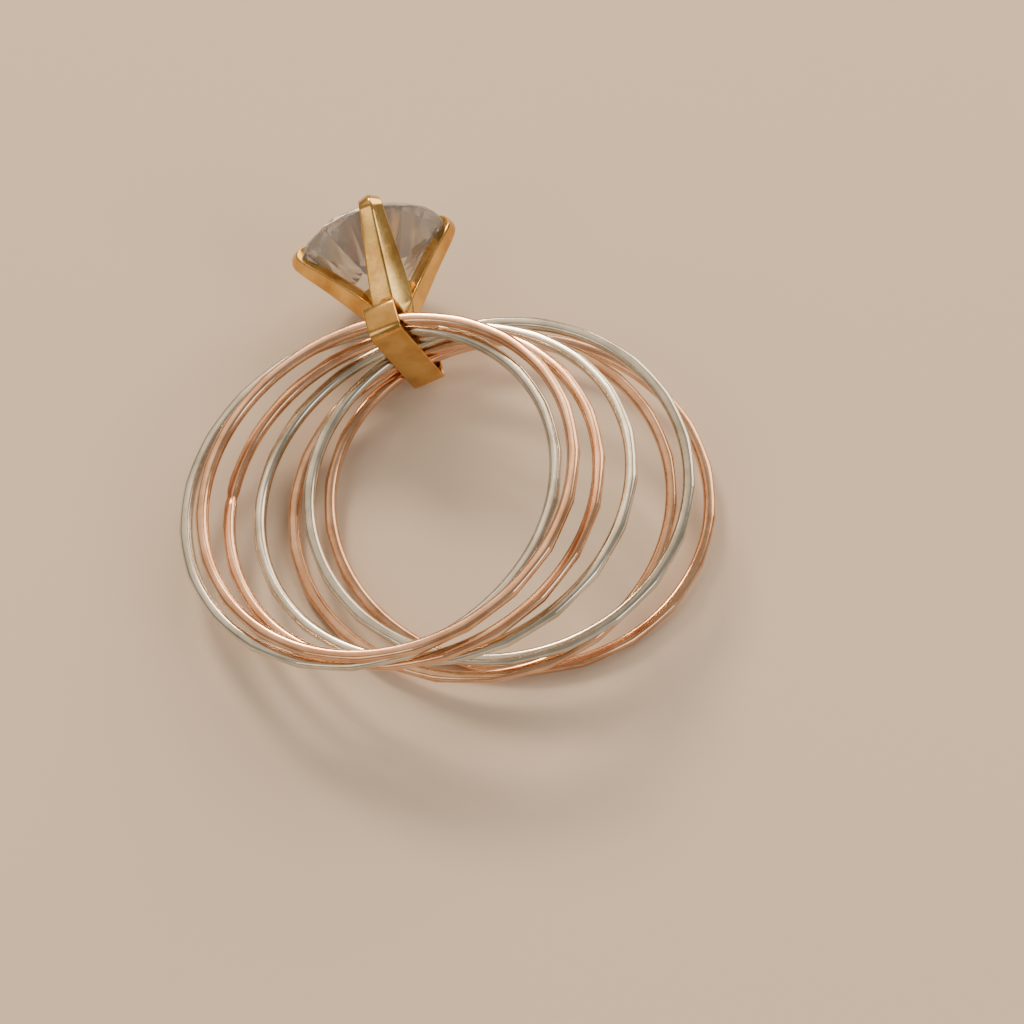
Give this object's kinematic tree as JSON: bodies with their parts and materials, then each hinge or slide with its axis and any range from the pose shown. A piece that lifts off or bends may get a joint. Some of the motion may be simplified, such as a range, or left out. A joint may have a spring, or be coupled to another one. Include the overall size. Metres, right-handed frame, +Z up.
{
  "type": "multi-band solitaire ring",
  "caption": "Finger ring of thin loose bands in rose and white gold, threaded through a flat yellow gold collar that carries a pronged head with a round brilliant stone.",
  "frame": {"origin": "centre of the ring's footprint on the table it lies on", "axes": "+Z up from the table, +Y the way the head points in plan, +X to the right of it"},
  "size_m": [0.0252, 0.0248, 0.0081],
  "materials": {
    "yellow_gold": "polished",
    "rose_gold": "polished, cut flats outside",
    "white_gold": "polished, cut flats outside",
    "stone": "polished facets"
  },
  "bodies": {
    "setting": {"setting": "yellow_gold", "stone": "stone"},
    "band_1": {"band_1": "rose_gold"},
    "band_2": {"band_2": "white_gold"},
    "band_3": {"band_3": "rose_gold"},
    "band_4": {"band_4": "white_gold"},
    "band_5": {"band_5": "white_gold"},
    "band_6": {"band_6": "rose_gold"},
    "band_7": {"band_7": "rose_gold"}
  },
  "joints": [
    {"name": "band_1_turn", "type": "hinge", "parent": "setting", "child": "band_1", "pos_m": [-0.00301, -0.00312, 0.00534], "axis": [-0.2783, 0.0462, 0.9594], "continuous": true},
    {"name": "band_2_turn", "type": "hinge", "parent": "setting", "child": "band_2", "pos_m": [-0.00374, -0.00279, 0.00436], "axis": [-0.274, 0.042, 0.9608], "continuous": true},
    {"name": "band_3_turn", "type": "hinge", "parent": "setting", "child": "band_3", "pos_m": [-0.00182, -0.00318, 0.00421], "axis": [-0.2779, 0.0485, 0.9594], "continuous": true},
    {"name": "band_4_turn", "type": "hinge", "parent": "setting", "child": "band_4", "pos_m": [-0.00034, -0.00323, 0.00387], "axis": [-0.2583, 0.0551, 0.9645], "continuous": true},
    {"name": "band_5_turn", "type": "hinge", "parent": "setting", "child": "band_5", "pos_m": [0.00233, -0.00293, 0.00268], "axis": [-0.1443, -0.0358, 0.9889], "continuous": true},
    {"name": "band_6_turn", "type": "hinge", "parent": "setting", "child": "band_6", "pos_m": [0.00149, -0.0031, 0.00183], "axis": [-0.1646, -0.0418, 0.9855], "continuous": true},
    {"name": "band_7_turn", "type": "hinge", "parent": "setting", "child": "band_7", "pos_m": [0.00343, -0.00269, 0.00082], "axis": [-0.0167, -0.0531, 0.9985], "continuous": true}
  ]
}
